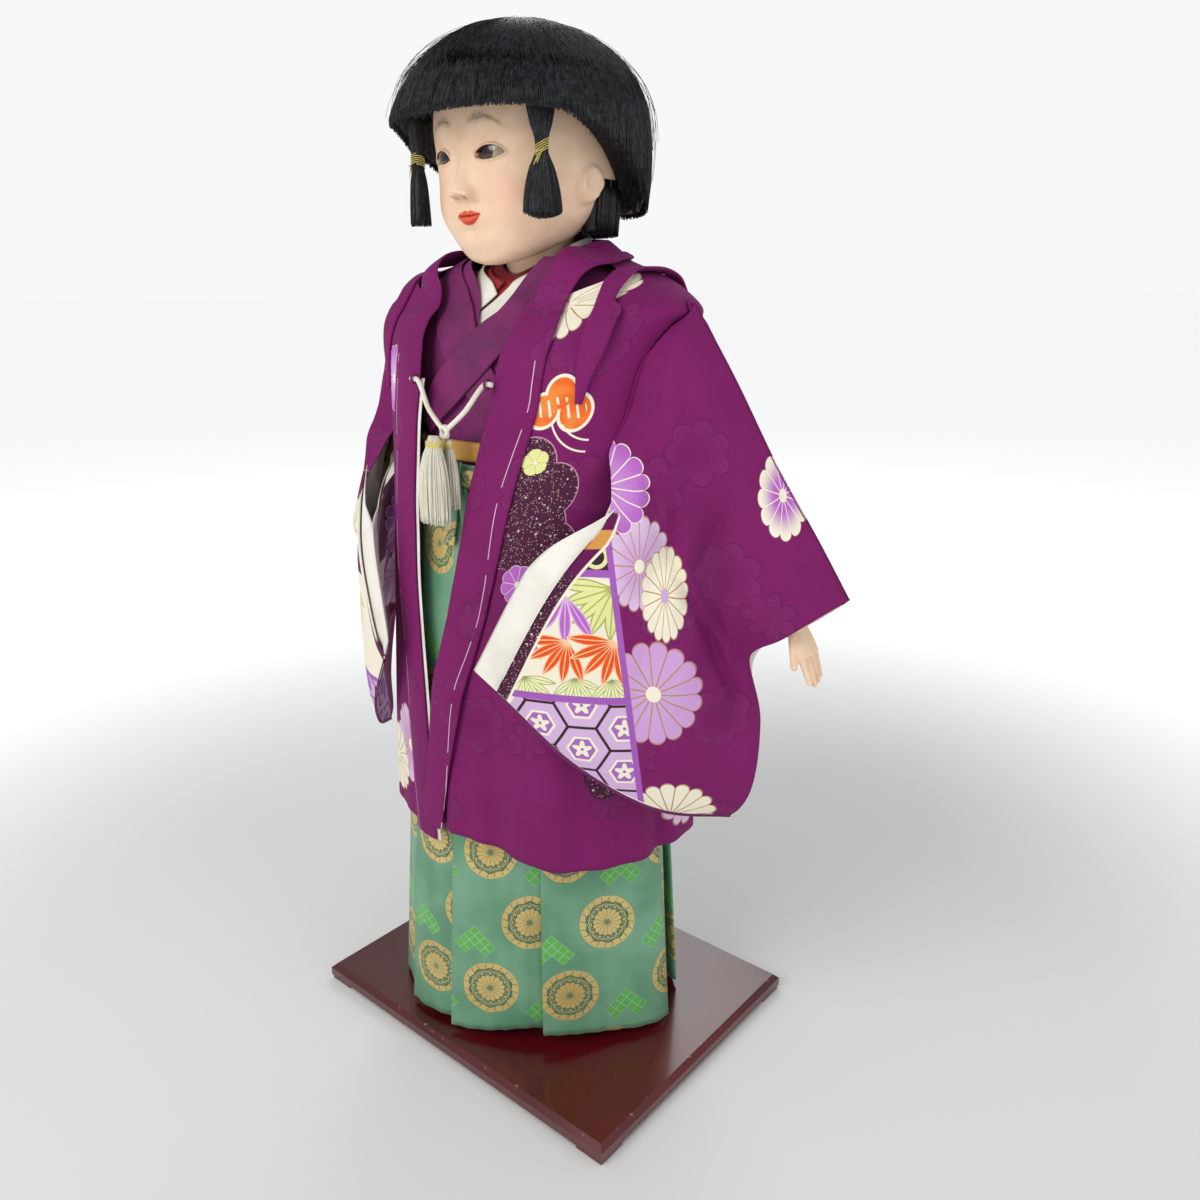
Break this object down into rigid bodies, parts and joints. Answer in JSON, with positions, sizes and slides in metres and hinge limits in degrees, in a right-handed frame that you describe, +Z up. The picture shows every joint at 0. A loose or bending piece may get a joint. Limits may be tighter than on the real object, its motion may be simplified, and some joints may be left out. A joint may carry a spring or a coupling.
{
  "type": "japanese doll",
  "caption": "Standing child doll in haori, kimono and pleated hakama on a lacquered board; head turns, arms swing out, tassel swings, lifts off its pegs.",
  "frame": {"origin": "centre of the board's underside; the corner feet reach 3.5 mm below it", "axes": "+Z up; the doll faces -Y and its left hand is at +X"},
  "size_m": [0.496, 0.246, 0.766],
  "materials": {
    "lacquer": "deep red-brown lacquer, glossy, worn pale along the chamfer",
    "purple_crepe": "silk crepe with a tonal woven and printed pattern",
    "purple_silk": "plain purple silk",
    "white_silk": "white silk lining",
    "red_silk": "red silk",
    "green_brocade": "satin ground with gold and green woven figures",
    "gold_brocade": "gold-threaded brocade",
    "shell_white": "polished shell-white paint over wood composition",
    "hair": "straight black hair with a soft sheen",
    "glass_eye": "inset glass, dark brown",
    "gold_thread": "yellow-gold silk cord",
    "pale_cord": "cream braided silk and its loose fibres",
    "wood": "bare paulownia wood",
    "straw": "bound straw and paper over wood",
    "steel": "plain steel"
  },
  "bodies": {
    "stand": {"base_board": "lacquer", "base_foot_1": "lacquer", "base_foot_2": "lacquer", "base_foot_3": "lacquer", "base_foot_4": "lacquer"},
    "doll": {"foot_left": "white_silk", "foot_right": "white_silk", "foot_peg_left": "steel", "foot_peg_right": "steel", "leg_left": "straw", "leg_right": "straw", "haori_panel_left": "purple_crepe", "haori_panel_right": "purple_crepe", "shoulder_tuck_left": "purple_crepe", "shoulder_tuck_right": "purple_crepe", "himo_loop_left": "purple_silk", "himo_loop_right": "purple_silk", "torso": "straw", "kimono_body": "purple_silk", "kimono_collar": "purple_silk", "white_collar": "white_silk", "red_collar": "red_silk", "haori_collar": "purple_crepe", "obi": "gold_brocade", "hakama_front": "green_brocade", "hakama_back": "green_brocade", "hakama_waistband": "green_brocade", "hakama_bow": "green_brocade", "hakama_back_board": "green_brocade"},
    "head": {"head": "shell_white", "neck_peg": "wood", "hair_cap": "hair", "nape_hair": "hair", "eye_left": "glass_eye", "eye_right": "glass_eye", "side_lock_left": "hair", "side_lock_right": "hair", "lock_tie_left": "gold_thread", "lock_tie_right": "gold_thread"},
    "arm_left": {"arm_left": "straw", "hand_left": "shell_white", "haori_sleeve_left": "purple_crepe", "kimono_sleeve_left": "white_silk"},
    "arm_right": {"arm_right": "straw", "hand_right": "shell_white", "haori_sleeve_right": "purple_crepe", "kimono_sleeve_right": "white_silk"},
    "fastening": {"himo_cord_left": "pale_cord", "himo_cord_right": "pale_cord", "himo_knot": "pale_cord", "tassel_front": "pale_cord", "tassel_back": "pale_cord"}
  },
  "joints": [
    {"name": "doll_lift", "type": "slide", "parent": "stand", "child": "doll", "axis": [0, 0, 1], "range_m": [0, 0.03]},
    {"name": "head_turn", "type": "hinge", "parent": "doll", "child": "head", "pos_m": [0, 0.006, 0.6], "axis": [0, 0, 1], "range_deg": [-12, 12]},
    {"name": "arm_swing_left", "type": "hinge", "parent": "doll", "child": "arm_left", "pos_m": [0.112, 0, 0.5705], "axis": [0, -1, 0], "range_deg": [0, 18]},
    {"name": "arm_swing_right", "type": "hinge", "parent": "doll", "child": "arm_right", "pos_m": [-0.112, 0, 0.5705], "axis": [0, 1, 0], "range_deg": [0, 18]},
    {"name": "tassel_swing", "type": "hinge", "parent": "doll", "child": "fastening", "pos_m": [0, -0.08745, 0.5345], "axis": [-1, 0, 0], "range_deg": [0, 50]}
  ]
}
